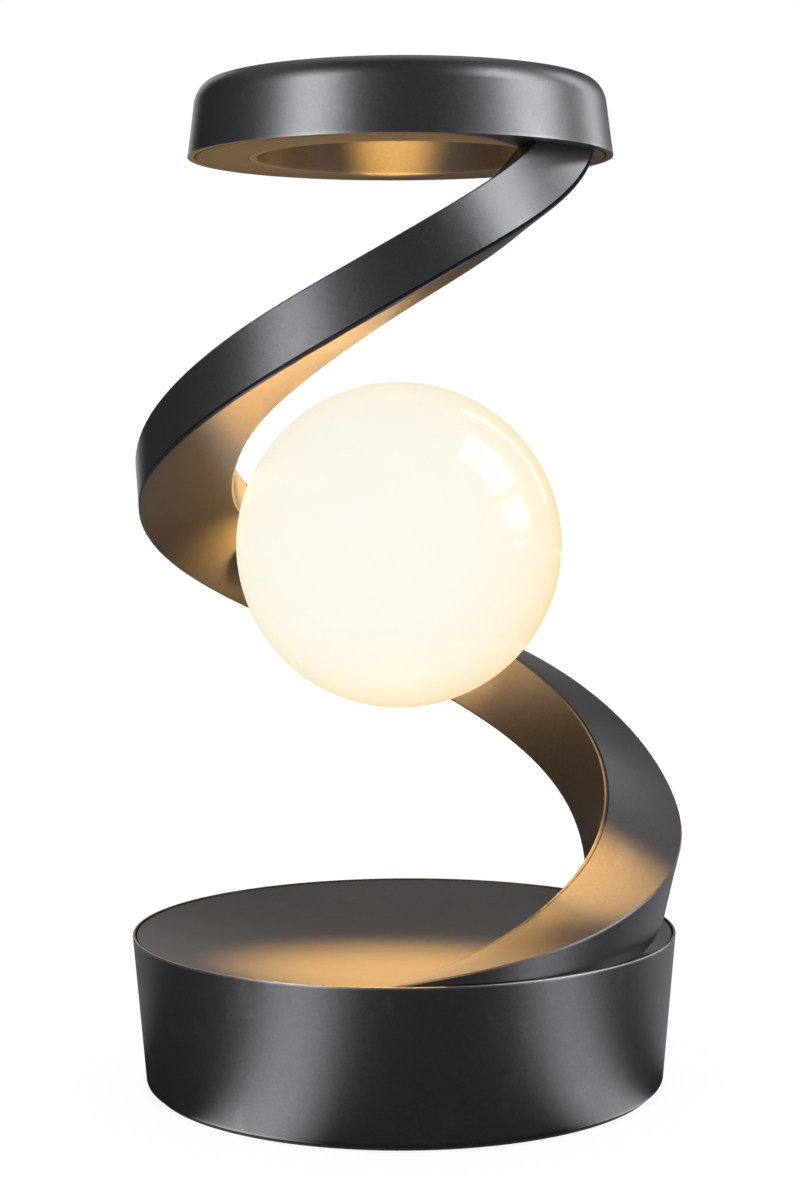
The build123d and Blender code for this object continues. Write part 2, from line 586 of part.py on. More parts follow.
def make_button_cap():
    front = PANEL_FACE_Y + BUTTON_STANDS_OUT
    cap = rod_y(BUTTON_RADIUS, BUTTON_BACK_Y, front, BUTTON_X, BUTTON_Z)
    cap = fillet(cap.edges().sort_by(Axis.Y)[-1], BUTTON_EDGE_ROUND)
    return cap + rod_y(BUTTON_FLANGE_RADIUS, BUTTON_BACK_Y, BUTTON_BACK_Y + BUTTON_FLANGE_THICKNESS,
                       BUTTON_X, BUTTON_Z)


# ---- Arm ----
def natural_spline(knots, values):
    """A smooth curve through the values at the knots: cubic pieces that don't bend at the ends."""
    step = np.diff(knots)
    slope = np.diff(values) / step
    matrix = np.eye(len(knots))
    right = np.zeros(len(knots))
    for i in range(1, len(knots) - 1):
        matrix[i, i - 1:i + 2] = step[i - 1], 2 * (step[i - 1] + step[i]), step[i]
        right[i] = 6 * (slope[i] - slope[i - 1])
    bend = np.linalg.solve(matrix, right)

    def curve(x):
        i = int(np.clip(np.searchsorted(knots, x) - 1, 0, len(step) - 1))
        near = (x - knots[i]) / step[i]
        far = 1 - near
        sag = ((far ** 3 - far) * bend[i] + (near ** 3 - near) * bend[i + 1]) * step[i] ** 2 / 6
        return float(far * values[i] + near * values[i + 1] + sag)

    return curve


ARM_BEARINGS, *ARM_COLUMNS = zip(*ARM_STATIONS)
arm_reach, arm_climb, arm_roll, arm_width, arm_depth = [
    natural_spline(ARM_BEARINGS, column) for column in ARM_COLUMNS]


def arm_height(bearing):
    return DRUM_HEIGHT + arm_climb(bearing) * RING_RISE / CLIMB


def arm_point(bearing, across, up):
    """A point of the arm's section: across is outwards and up is upwards before the roll."""
    angle = math.radians(bearing)
    outwards = Vector(math.cos(angle), math.sin(angle), 0)
    onwards = Vector(-math.sin(angle), math.cos(angle), 0)
    rise = (arm_height(bearing + 0.5) - arm_height(bearing - 0.5)) / math.radians(1)
    climb = math.atan2(rise, arm_reach(bearing))
    normal = Vector(0, 0, math.cos(climb)) - onwards * math.sin(climb)
    roll = math.radians(arm_roll(bearing))
    rolled_across = across * math.cos(roll) + up * math.sin(roll)
    rolled_up = up * math.cos(roll) - across * math.sin(roll)
    middle = outwards * arm_reach(bearing) + Vector(0, 0, arm_height(bearing))
    return middle + outwards * rolled_across + normal * rolled_up


def arm_loft(section, start, end):
    """A solid through the sections at every step of bearing from start to end."""
    inner_steps = range(math.ceil((start + 1) / ARM_STEP) * ARM_STEP, end, ARM_STEP)
    wires = []
    for bearing in [start, *inner_steps, end]:
        corners = section(arm_width(bearing) / 2, arm_depth(bearing) / 2)
        points = [arm_point(bearing, across, up) for across, up in corners]
        wires.append(Wire.make_polygon(points, close=True))
    return Solid.make_loft(wires)


def shell_section(x, y):
    """The section without the lining strip on its inner face."""
    bevel = ARM_BEVEL
    front = -x + COVER_STRIP + COVER_SEAM
    return [(front, y), (x - bevel, y), (x, y - bevel), (x, -y + bevel), (x - bevel, -y), (front, -y)]


def hollow_section(x, y):
    """The space inside the shell, open through its inner side."""
    front = -x + COVER_STRIP / 2
    return [(front, y - ARM_WALL), (x - ARM_WALL, y - ARM_WALL),
            (x - ARM_WALL, -y + ARM_WALL), (front, -y + ARM_WALL)]


def strip_section(x, y):
    bevel = ARM_BEVEL
    back = -x + COVER_STRIP
    return [(-x + bevel, y), (back, y), (back, -y), (-x + bevel, -y), (-x, -y + bevel), (-x, y - bevel)]


def arm_trimming():
    """What the arm is cut back from: the dish and the rim below it, the ring above it."""
    reach = DRUM_RIM_RADIUS + arm_reach(ARM_BEARINGS[0])
    bowl = above_dish(-LAP_GAP) & disc(DISH_RADIUS, DISH_LOW, DRUM_HEIGHT + SLIP_GAP)
    base = disc(reach, -DRUM_HEIGHT, DRUM_HEIGHT + SLIP_GAP) - bowl
    top = disc(reach, RING_BOTTOM, RING_TOP + DRUM_HEIGHT)
    hole = disc(RING_HOLE_RADIUS + ARM_TRIM_GAP, RING_BOTTOM - ARM_TRIM_HEIGHT, RING_BOTTOM)
    return [base, top, hole]


def lead_route():
    """The lead's corner points: along the drum's floor, up through the foot and along the arm."""
    x, forwards = CONNECTOR_PLACE
    start = Vector(x, BOARD_REAR_Y - forwards - CONNECTOR_SIZE[1] / 2, LEAD_LEVEL)
    angle = math.radians(LEAD_HOLE_BEARING)
    hole = Vector(LEAD_HOLE_REACH * math.cos(angle), LEAD_HOLE_REACH * math.sin(angle), LEAD_LEVEL)
    points = [start, *[Vector(x, y, LEAD_LEVEL) for x, y in LEAD_FLOOR_ROUTE]]
    points += [hole, Vector(hole.X, hole.Y, DRUM_HEIGHT + LEAD_HIGH_TURN)]
    points += [arm_point(bearing, 0, 0) for bearing in range(LEAD_ARM_FROM, LEAD_ARM_TO + 1, LEAD_STEP)]
    on_axis = globe_centre() + seat_direction() * LEAD_END_REACH
    back = (points[-1] - on_axis).normalized()
    return [*points, on_axis + back * LEAD_END_OFFSET]


def bend_radii(points):
    """The bend at each inner corner, as large as its two runs allow."""
    radii = []
    for before, corner, after in zip(points, points[1:], points[2:]):
        turn = math.radians((corner - before).get_angle(after - corner))
        shorter = min((corner - before).length, (after - corner).length)
        radii.append(LEAD_BEND_SHARE * shorter / math.tan(turn / 2))
    return radii


def lead_tube(radius):
    points = lead_route()
    path = FilletPolyline(*points, radius=bend_radii(points))
    section = Plane(origin=points[0], z_dir=points[1] - points[0]) * Circle(radius)
    return sweep(section, path=path)


def globe_centre():
    return Vector(GLOBE_X, 0, arm_height(SEAT_BEARING) + GLOBE_ABOVE_SEAT)


def seat_direction():
    """From the globe's centre towards the middle of the arm where the seat is."""
    return (arm_point(SEAT_BEARING, 0, 0) - globe_centre()).normalized()


def on_seat_axis(shape):
    """Move a shape drawn about Z so that Z runs from the globe's centre to the seat."""
    return Plane(origin=globe_centre(), z_dir=seat_direction()).location * shape


def make_arm_shell():
    """The hollow arm, solid at its foot and tip, with a sleeve for the seat."""
    shell = Part() + arm_loft(shell_section, ARM_BEARINGS[0], ARM_BEARINGS[-1])
    shell -= arm_loft(hollow_section, ARM_HOLLOW_FROM, ARM_HOLLOW_TO)
    shell += on_seat_axis(disc(SEAT_SLEEVE_RADIUS, SEAT_FACE + SEAT_SLEEVE_SINK, SEAT_BACK))
    shell -= on_seat_axis(disc(SEAT_CUP_RADIUS + FIT_GAP, SEAT_FACE, SEAT_BACK))
    for cut in arm_trimming():
        shell -= cut
    for bearing in FOOT_SCREW_BEARINGS:
        hole = disc(FOOT_SCREW_RADIUS + FIT_GAP, FOOT_BOSS_BOTTOM, FOOT_SCREW_TOP + FIT_GAP)
        shell -= at_bearing(bearing, FOOT_SCREW_REACH, hole)
    for bearing in RING_SCREW_BEARINGS:
        hole = disc(RING_SCREW_RADIUS + FIT_GAP, RING_BOTTOM - RING_SCREW_DEPTH - FIT_GAP, RING_BOTTOM)
        shell -= at_bearing(bearing, RING_SCREW_REACH, hole)
    lead_hole = disc(LEAD_HOLE_RADIUS, FOOT_BOSS_BOTTOM, DRUM_HEIGHT + LEAD_HIGH_TURN)
    shell -= at_bearing(LEAD_HOLE_BEARING, LEAD_HOLE_REACH, lead_hole)
    return shell - lead_end_hole()


def lead_end_hole():
    """The hole by which the lead enters the sleeve and the cup."""
    *_, last, end = lead_route()
    run = end - last
    hole = disc(LEAD_RADIUS + SLIP_GAP, -SEAT_CUP_RADIUS, 0)
    return Plane(origin=end, z_dir=run).location * hole


def make_arm_cover():
    strip = Part() + arm_loft(strip_section, ARM_BEARINGS[0], ARM_BEARINGS[-1])
    strip -= on_seat_axis(disc(SEAT_SLEEVE_RADIUS + COVER_SEAM, SEAT_FACE, SEAT_BACK))
    for cut in arm_trimming():
        strip -= cut
    return strip


# ---- Magnetic seat, drawn about Z with the globe's centre at the origin ----
def seat_cup():
    """The steel cup: the magnet's pocket in front, a hollow for the lead's end behind."""
    face = outline(
        (SEAT_CUP_RADIUS, SEAT_FACE),
        (SEAT_CUP_RADIUS, SEAT_BACK),
        (CUP_TAIL_RADIUS, SEAT_BACK),
        (CUP_TAIL_RADIUS, SEAT_FACE + CONTACT_BLOCK_LENGTH),
        (CONTACT_BLOCK_RADIUS + FIT_GAP, SEAT_FACE + CONTACT_BLOCK_LENGTH),
        (CONTACT_BLOCK_RADIUS + FIT_GAP, SEAT_FACE + MAGNET_SINK + MAGNET_THICKNESS),
        (SEAT_CUP_RADIUS - SEAT_CUP_WALL, SEAT_FACE + MAGNET_SINK + MAGNET_THICKNESS),
        (SEAT_CUP_RADIUS - SEAT_CUP_WALL, SEAT_FACE),
    )
    return spun(face)


def pin_places():
    return [(0.0, 0.0), (PIN_OFFSET, 0.0)]


def contact_block():
    insulator = disc(CONTACT_BLOCK_RADIUS, SEAT_FACE, SEAT_FACE + CONTACT_BLOCK_LENGTH)
    for x, y in pin_places():
        insulator -= Pos(x, y, 0) * disc(BARREL_RADIUS + FIT_GAP, SEAT_FACE, SEAT_FACE + BARREL_LENGTH)
    return insulator


def pin_barrels():
    outer = disc(BARREL_RADIUS, SEAT_FACE, SEAT_FACE + BARREL_LENGTH)
    bore_end = SEAT_FACE + PIN_LENGTH - PIN_STANDS_OUT + PIN_TRAVEL + SLIP_GAP
    barrel = outer - disc(PIN_RADIUS + PIN_GAP, SEAT_FACE, bore_end)
    return solids(*[Pos(x, y, 0) * barrel for x, y in pin_places()])


def contact_pins():
    pin = disc(PIN_RADIUS, SEAT_FACE - PIN_STANDS_OUT, SEAT_FACE - PIN_STANDS_OUT + PIN_LENGTH)
    return solids(*[Pos(x, y, 0) * pin for x, y in pin_places()])


def seat_magnet():
    near = SEAT_FACE + MAGNET_SINK
    return tube(SEAT_CUP_RADIUS - SEAT_CUP_WALL - FIT_GAP, CONTACT_BLOCK_RADIUS + MAGNET_BORE_GAP,
                near, near + MAGNET_THICKNESS)


# ---- Globe, drawn about Z with its own centre at the origin ----
def globe_shade():
    """The opal ball with its neck, and the lugs that lock it on the collar."""
    outer = Sphere(GLOBE_RADIUS)
    shade = outer - Sphere(GLOBE_RADIUS - GLOBE_WALL)
    neck = disc(NECK_RADIUS + NECK_WALL, COLLAR_FACE - NECK_LENGTH, GLOBE_RADIUS) & outer
    shade = shade + neck - disc(NECK_RADIUS, 0, GLOBE_RADIUS)
    for i in range(LUG_COUNT):
        lug = sector(NECK_RADIUS - LUG_DEPTH, NECK_RADIUS + NECK_WALL / 2, LUG_LOW,
                     LUG_LOW + LUG_THICKNESS, i * 360 / LUG_COUNT, LUG_SPAN)
        shade += lug
    return shade


def globe_collar():
    """The holder in the neck: a face with the strike plate's recess, a barrel and three tabs."""
    bore = COLLAR_BARREL_RADIUS - COLLAR_BARREL_WALL
    collar = disc(COLLAR_RADIUS, COLLAR_BACK, COLLAR_FACE)
    collar += tube(COLLAR_BARREL_RADIUS, bore, COLLAR_FACE - COLLAR_LENGTH, COLLAR_BACK)
    tab_top = LUG_LOW - LUG_CLEARANCE
    for i in range(LUG_COUNT):
        collar += sector(COLLAR_BARREL_RADIUS - COLLAR_BARREL_WALL / 2, COLLAR_RADIUS,
                         tab_top - COLLAR_TAB_THICKNESS, tab_top, i * 360 / LUG_COUNT, LUG_SPAN)
    collar -= disc(STRIKE_RADIUS + FIT_GAP, STRIKE_BACK, COLLAR_FACE)
    for hole in post_screw_holes():
        collar -= hole
    return collar - disc(LED_POST_BORE, COLLAR_BACK, STRIKE_BACK)


def strike_plate():
    plate = tube(STRIKE_RADIUS, STRIKE_BORE_RADIUS, STRIKE_BACK, COLLAR_FACE)
    for hole in post_screw_holes():
        plate -= hole
    return plate


def around_post(shape):
    """Copies of a shape at the three screws that hold the globe's inside together."""
    return [Rot(0, 0, 60 + i * 120) * (Pos(POST_SCREW_PITCH, 0, COLLAR_FACE) * shape) for i in range(3)]


def post_screw_holes():
    return around_post(countersunk_screw(POST_SCREW_RADIUS + FIT_GAP, POST_SCREW_LENGTH + FIT_GAP,
                                         POST_SCREW_HEAD_RADIUS + FIT_GAP, POST_SCREW_HEAD_HEIGHT))


def post_screws():
    return solids(*around_post(countersunk_screw(POST_SCREW_RADIUS, POST_SCREW_LENGTH,
                                                 POST_SCREW_HEAD_RADIUS, POST_SCREW_HEAD_HEIGHT)))


def pad_carrier():
    carrier = disc(PAD_CARRIER_RADIUS, STRIKE_BACK, PAD_FACE)
    carrier -= disc(PAD_CENTRE_RADIUS + FIT_GAP, PAD_FACE - PAD_DEPTH, PAD_FACE)
    return carrier - tube(PAD_RING_OUTER + FIT_GAP, PAD_RING_INNER - FIT_GAP, PAD_FACE - PAD_DEPTH, PAD_FACE)


def contact_pads():
    centre = disc(PAD_CENTRE_RADIUS, PAD_FACE - PAD_DEPTH, PAD_FACE)
    return solids(centre, tube(PAD_RING_OUTER, PAD_RING_INNER, PAD_FACE - PAD_DEPTH, PAD_FACE))


def led_post():
    flange_back = COLLAR_BACK - LED_POST_FLANGE_THICKNESS
    post = disc(LED_POST_RADIUS, LED_POST_TIP, flange_back)
    post += disc(LED_POST_FLANGE_RADIUS, flange_back, COLLAR_BACK)
    for hole in post_screw_holes():
        post -= hole
    return post - disc(LED_POST_BORE, LED_POST_TIP, COLLAR_BACK)


def led_board():
    """The lamp's circuit: a sleeve round the post and a round board on its tip."""
    inner = LED_POST_RADIUS + FIT_GAP
    sleeve = tube(inner + LED_BOARD_THICKNESS, inner, LED_BOARD_END, LED_BOARD_START)
    tip = disc(LED_POST_RADIUS, LED_POST_TIP - LED_BOARD_THICKNESS, LED_POST_TIP)
    return solids(sleeve, tip)


def led_packages():
    """Rows of small lamps round the sleeve, and a ring of them on the tip."""
    width, length, height = LED_SIZE
    reach = LED_POST_RADIUS + FIT_GAP + LED_BOARD_THICKNESS
    pitch = (LED_BOARD_START - LED_BOARD_END) / LED_ROWS
    packages = []
    for row in range(LED_ROWS):
        level = LED_BOARD_END + pitch * (row + 0.5)
        for column in range(LED_COLUMNS):
            package = Pos(reach + height / 2, 0, level) * Box(height, width, length)
            packages.append(Rot(0, 0, column * 360 / LED_COLUMNS) * package)
    tip = LED_POST_TIP - LED_BOARD_THICKNESS
    for column in range(LED_COLUMNS - 2):
        package = Pos(LED_POST_RADIUS / 2, 0, tip - height / 2) * Box(width, width, height)
        packages.append(Rot(0, 0, column * 360 / (LED_COLUMNS - 2)) * package)
    return solids(*packages)


# ---- Ring ----
def make_ring_shell():
    """The ring's top and walls; its side leans in and curves over on to the flat top."""
    shoulder = RING_BOTTOM + RING_SHOULDER_HEIGHT
    lean = (RING_FOOT_RADIUS - RING_SHOULDER_RADIUS) / RING_SHOULDER_HEIGHT
    inner_top = RING_TOP - RING_WALL
    inner_shoulder = RING_SHOULDER_RADIUS - RING_WALL
    hole_wall = RING_HOLE_RADIUS + RING_WALL
    outer_side = [*Line((RING_FOOT_RADIUS, RING_BOTTOM), (RING_SHOULDER_RADIUS, shoulder)).edges(),
                  *Spline((RING_SHOULDER_RADIUS, shoulder), (RING_CROWN_RADIUS, RING_TOP),
                          tangents=((-lean, 1), (-1, 0)), tangent_scalars=RING_CURVE_PULLS).edges()]
    inner_side = [*Spline((RING_CROWN_RADIUS - RING_WALL / 2, inner_top), (inner_shoulder, shoulder),
                          tangents=((1, 0), (lean, -1)), tangent_scalars=RING_INNER_PULLS).edges(),
                  *Line((inner_shoulder, shoulder), (RING_FOOT_RADIUS - RING_WALL, RING_BOTTOM)).edges()]
    face = make_face([
        *outer_side,
        *Polyline((RING_CROWN_RADIUS, RING_TOP), (RING_HOLE_RADIUS, RING_TOP),
                  (RING_HOLE_RADIUS, RING_BOTTOM), (hole_wall, RING_BOTTOM), (hole_wall, inner_top),
                  (RING_CROWN_RADIUS - RING_WALL / 2, inner_top)).edges(),
        *inner_side,
        *Line((RING_FOOT_RADIUS - RING_WALL, RING_BOTTOM), (RING_FOOT_RADIUS, RING_BOTTOM)).edges(),
    ])
    corner = min(face.vertices(), key=lambda v: math.hypot(v.X - RING_HOLE_RADIUS, v.Y - RING_TOP))
    return spun(fillet(corner, RING_HOLE_ROUND))


def make_ring_underplate():
    outer = RING_FOOT_RADIUS - RING_WALL - UNDERPLATE_GAP - UNDERPLATE_TAPER
    plate = tube(outer, RING_HOLE_RADIUS + RING_WALL + UNDERPLATE_GAP, RING_BOTTOM,
                 RING_BOTTOM + UNDERPLATE_THICKNESS)
    for bearing in RING_SCREW_BEARINGS:
        hole = disc(RING_SCREW_RADIUS + FIT_GAP, RING_BOTTOM, RING_BOTTOM + UNDERPLATE_THICKNESS)
        plate -= at_bearing(bearing, RING_SCREW_REACH, hole)
    return plate


def make_ring_screws():
    screw = pan_screw(RING_SCREW_RADIUS, UNDERPLATE_THICKNESS + RING_SCREW_DEPTH,
                      RING_SCREW_HEAD_RADIUS, RING_SCREW_HEAD_HEIGHT)
    screw = Pos(0, 0, RING_BOTTOM + UNDERPLATE_THICKNESS) * screw
    return solids(*[at_bearing(bearing, RING_SCREW_REACH, screw) for bearing in RING_SCREW_BEARINGS])


# ---- Every piece under its name ----
PIECES = {
    "base_housing": make_drum,
    "foot_pad": make_foot_pad,
    "bottom_cover": make_bottom_cover,
    "cover_screws": make_cover_screws,
    "dish_plate": make_dish,
    "lead_grommet": make_lead_grommet,
    "foot_screws": make_foot_screws,
    "ballast_plate": make_ballast,
    "board_spacers": make_board_spacers,
    "board_screws": make_board_screws,
    "driver_board": make_driver_board,
    "board_inductor": make_board_inductor,
    "board_capacitors": make_board_capacitors,
    "board_chips": make_board_chips,
    "lead_connector": make_lead_connector,
    "rear_panel": make_rear_panel,
    "power_inlet": make_power_inlet,
    "inlet_tongue": make_inlet_tongue,
    "push_switch": make_push_switch,
    "switch_plunger": make_switch_plunger,
    "button_cap": make_button_cap,
    "arm_shell": make_arm_shell,
    "arm_cover": make_arm_cover,
    "arm_lead": lambda: lead_tube(LEAD_RADIUS),
    "seat_cup": lambda: on_seat_axis(seat_cup()) - lead_end_hole(),
    "seat_magnet": lambda: on_seat_axis(seat_magnet()),
    "contact_block": lambda: on_seat_axis(contact_block()),
    "pin_barrels": lambda: on_seat_axis(pin_barrels()),
    "contact_pins": lambda: on_seat_axis(contact_pins()),
    "globe_shade": lambda: on_seat_axis(globe_shade()),
    "globe_collar": lambda: on_seat_axis(globe_collar()),
    "strike_plate": lambda: on_seat_axis(strike_plate()),
    "pad_carrier": lambda: on_seat_axis(pad_carrier()),
    "contact_pads": lambda: on_seat_axis(contact_pads()),
    "post_screws": lambda: on_seat_axis(post_screws()),
    "led_post": lambda: on_seat_axis(led_post()),
    "led_board": lambda: on_seat_axis(led_board()),
    "led_packages": lambda: on_seat_axis(led_packages()),
    "ring_shell": make_ring_shell,
    "ring_underplate": make_ring_underplate,
    "ring_screws": make_ring_screws,
}

os.makedirs("parts", exist_ok=True)
for name, make in PIECES.items():
    export_step(make(), f"parts/{name}.step")

route = lead_route()
runs = [(far - near).length for near, far in zip(route, route[1:])]
print("lead runs", [round(run, 1) for run in runs], "sum", round(sum(runs), 1))
print("lead bends", [round(radius, 1) for radius in bend_radii(route)])
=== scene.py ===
"""The magnetic balance lamp: its finishes, its light and its camera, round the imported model.

Everything is in metres in the model's own frame: the table is z = 0, and the camera looks along +Y.
"""

import json
import math

import bpy
import numpy as np
from mathutils import Matrix, Vector

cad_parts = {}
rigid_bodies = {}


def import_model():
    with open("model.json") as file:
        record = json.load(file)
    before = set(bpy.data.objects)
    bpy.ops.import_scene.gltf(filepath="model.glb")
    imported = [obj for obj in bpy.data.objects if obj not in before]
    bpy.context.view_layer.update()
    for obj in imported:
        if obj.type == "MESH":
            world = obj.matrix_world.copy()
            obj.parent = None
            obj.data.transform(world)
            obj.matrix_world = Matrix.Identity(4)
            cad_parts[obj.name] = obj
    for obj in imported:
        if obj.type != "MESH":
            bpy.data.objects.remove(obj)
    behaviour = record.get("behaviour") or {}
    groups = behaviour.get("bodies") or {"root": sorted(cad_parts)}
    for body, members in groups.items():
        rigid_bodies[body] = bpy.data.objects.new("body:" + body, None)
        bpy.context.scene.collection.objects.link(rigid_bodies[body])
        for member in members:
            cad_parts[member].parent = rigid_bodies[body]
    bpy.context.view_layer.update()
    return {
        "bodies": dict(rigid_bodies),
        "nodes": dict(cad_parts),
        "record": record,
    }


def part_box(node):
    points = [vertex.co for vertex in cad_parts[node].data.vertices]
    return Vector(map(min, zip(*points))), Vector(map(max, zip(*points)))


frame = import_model()

# ---------------------------------------------------------------- places and sizes
GLOBE_CENTRE = Vector((-0.0009, 0.0, 0.150))
GLOBE_RADIUS = 0.045
RIM_RADIUS = 0.0756
RIM_HEIGHT = 0.0430
RING_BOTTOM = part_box("ring_shell")[0].z
RING_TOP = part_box("ring_shell")[1].z

# The camera comes from a fit to the photograph, whose pixels give its pitch; lens and sensor are in mm.
CAMERA_PLACE = Vector((-0.000696, -0.67584, 0.18044))
HORIZON_ABOVE_MIDDLE_PIXELS = 165
FOCAL_LENGTH_PIXELS = 2441.07
CAMERA_PITCH = math.atan(HORIZON_ABOVE_MIDDLE_PIXELS / FOCAL_LENGTH_PIXELS)
CAMERA_ROLL = -0.005
CAMERA_LENS = 73.23
SENSOR_SIDE = 36.0

UPRIGHT = Vector((0.0, 0.0, 1.0))
WHITE = (1.0, 1.0, 1.0)
WARM = (1.0, 0.53, 0.135)
DEEP_WARM = (1.0, 0.44, 0.05)


# ---------------------------------------------------------------- shader sheets
class Value:
    """An output socket of a sheet; arithmetic on it adds Math nodes."""

    def __init__(self, sheet, socket):
        self.sheet = sheet
        self.socket = socket

    def maths(self, operation, first, second=0.0, clamp=False):
        """The result of one Math node."""
        settings = {"operation": operation, "use_clamp": clamp}
        return self.sheet.node("ShaderNodeMath", settings, {0: first, 1: second})

    def __add__(self, other):
        return self.maths("ADD", self, other)

    def __sub__(self, other):
        return self.maths("SUBTRACT", self, other)

    def __rsub__(self, other):
        return self.maths("SUBTRACT", other, self)

    def __mul__(self, other):
        return self.maths("MULTIPLY", self, other)

    def __truediv__(self, other):
        return self.maths("DIVIDE", self, other)

    def __pow__(self, other):
        return self.maths("POWER", self, other)

    __radd__ = __add__
    __rmul__ = __mul__

    def held(self):
        """The value held between 0 and 1."""
        return self.maths("ADD", self, 0.0, clamp=True)

    def size(self):
        """The value without its sign."""
        return self.maths("ABSOLUTE", self)

    def rise(self, low, high):
        """0 below low, 1 above high, and a smooth step between them."""
        sockets = {"Value": self, "From Min": low, "From Max": high}
        return self.sheet.node("ShaderNodeMapRange", {"interpolation_type": "SMOOTHSTEP"}, sockets)


class Sheet:
    """The node sheet of a material or of the world."""

    def __init__(self, owner):
        owner.use_nodes = True
        self.tree = owner.node_tree
        self.tree.nodes.clear()
        self.point = self.node("ShaderNodeTexCoord", output=3)

    def node(self, kind, settings=None, sockets=None, output=0):
        """A node whose settings are set first, and then its sockets get their values or links."""
        made = self.tree.nodes.new(kind)
        for name, value in (settings or {}).items():
            if name == "stops":
                self.set_stops(made.color_ramp.elements, value)
            else:
                setattr(made, name, value)
        for name, value in (sockets or {}).items():
            if isinstance(value, Value):
                self.tree.links.new(value.socket, made.inputs[name])
            else:
                made.inputs[name].default_value = value
        return Value(self, made.outputs[output]) if made.outputs else made

    @staticmethod
    def set_stops(elements, stops):
        """Gives a colour ramp its stops, each a position and a colour."""
        elements[0].position, elements[1].position = stops[0][0], stops[-1][0]
        elements[0].color, elements[1].color = (*stops[0][1], 1.0), (*stops[-1][1], 1.0)
        for position, colour in stops[1:-1]:
            elements.new(position).color = (*colour, 1.0)

    def mix(self, share, first, second):
        """The colour that goes from first to second as share goes from 0 to 1."""
        ends = [colour if isinstance(colour, Value) else (*colour, 1.0) for colour in (first, second)]
        return self.node("ShaderNodeMix", {"data_type": "RGBA"}, {0: share, 6: ends[0], 7: ends[1]}, output=2)

    def place(self):
        """The x, y and z of the point."""
        return [self.node("ShaderNodeSeparateXYZ", None, {0: self.point}, output=side) for side in range(3)]

    def radius(self):
        """The point's distance from the upright axis."""
        x, y = self.place()[:2]
        return (x * x + y * y) ** 0.5

    def turn(self):
        """The point's azimuth in degrees: 0 is the camera's side and 90 the right."""
        x, y = self.place()[:2]
        return self.node("ShaderNodeMath", {"operation": "ARCTAN2"}, {0: x, 1: -1.0 * y}) * (180.0 / math.pi)

    def noise(self, grain, detail=2.0, rough=0.5, stretch=(1.0, 1.0, 1.0)):
        """Noise of about that grain size in metres, from 0 to 1."""
        place = self.node("ShaderNodeMapping", None, {"Vector": self.point, "Scale": stretch})
        sockets = {"Vector": place, "Scale": 1.0 / grain, "Detail": detail, "Roughness": rough}
        return self.node("ShaderNodeTexNoise", None, sockets)

    def cells(self, grain, feature="F1", output=0):
        """Cells of about that grain size in metres: the distance to their middles, or what feature says."""
        sockets = {"Vector": self.point, "Scale": 1.0 / grain}
        return self.node("ShaderNodeTexVoronoi", {"feature": feature}, sockets, output)

    def cell_tones(self, grain):
        """A tone of its own for each of the cells, which are about that grain size in metres."""
        return self.node("ShaderNodeSeparateColor", None, {0: self.cells(grain, output=1)})

    def bumps(self, height, depth, strength=1.0):
        """The normal over a height from 0 to 1 that stands depth metres proud."""
        return self.node("ShaderNodeBump", None, {"Height": height, "Distance": depth, "Strength": strength})

    def finish(self, **sockets):
        """Ends the sheet with a Principled shader; the names of its sockets are written with underscores."""
        named = {}
        for name, value in sockets.items():
            colour = isinstance(value, tuple) and len(value) == 3
            named[name.replace("_", " ")] = (*value, 1.0) if colour else value
        shader = self.node("ShaderNodeBsdfPrincipled", None, named)
        self.node("ShaderNodeOutputMaterial", None, {"Surface": shader})


def painted(name):
    """A new material and its empty sheet."""
    material = bpy.data.materials.new(name)
    return material, Sheet(material)


# ---------------------------------------------------------------- finishes of what shows
GRAPHITE_DARK = (0.125, 0.126, 0.135)
GRAPHITE_LIGHT = (0.185, 0.187, 0.198)
# Lighter tone of the handled patches, which is wear, and of the ring's lower edge, which is a painted
# highlight.
HANDLED_AND_HIGHLIGHT_GRAPHITE = (0.27, 0.272, 0.28)
# The drum's lighter tone: a painted highlight along its rim, and wear in its handled patches.
RIM_HIGHLIGHT_AND_WEAR = (0.55, 0.555, 0.565)
GRAPHITE_ROUGHNESS = 0.355
POWDER_GRAIN = 0.00045
METAL_FLAKE = 0.0006
ORANGE_PEEL = 0.0035
CLOUD = 0.03
HANDLED_PATCH = 0.018
# Size of the noise that breaks up the painted edge highlights.
HIGHLIGHT_BREAKUP = 0.006
GRAPHITE_DEPTH = 0.00006

# The painted highlight reaches this far in from the drum's rim, starts and is full this far below it, and
# reaches this far up the ring, where it is weaker.
RIM_HIGHLIGHT_WIDTH = 0.0007
RIM_HIGHLIGHT_STARTS = 0.0009
RIM_HIGHLIGHT_FULL = 0.0001
# The ring's painted highlight: how far up it reaches and how strong it is.
RING_HIGHLIGHT_HEIGHT = 0.0010
RING_HIGHLIGHT = 0.6

# The way that the lit shade's front faces, and its glow's colours from its back (0) to its front (1); the
# warmer, dimmer stops between are painted shade round its sides.
SHADE_FRONT = (-0.24, -0.95, 0.2)
OPAL_GLOW_AND_PAINTED_RIM_SHADE = [
    (0.0, (0.98, 0.93, 0.78)),
    (0.14, (0.98, 0.89, 0.68)),
    (0.35, (0.98, 0.752, 0.406)),
    (0.46, (0.98, 0.78, 0.44)),
    (0.60, (0.98, 0.86, 0.60)),
    (0.74, (0.98, 0.92, 0.76)),
    (0.90, (0.98, 0.95, 0.84)),
    (1.0, (0.98, 0.96, 0.88)),
]
OPAL_SWIRL = (0.98, 0.90, 0.72)
OPAL_UNLIT = (0.10, 0.095, 0.08)
OPAL_STRENGTH = 0.93


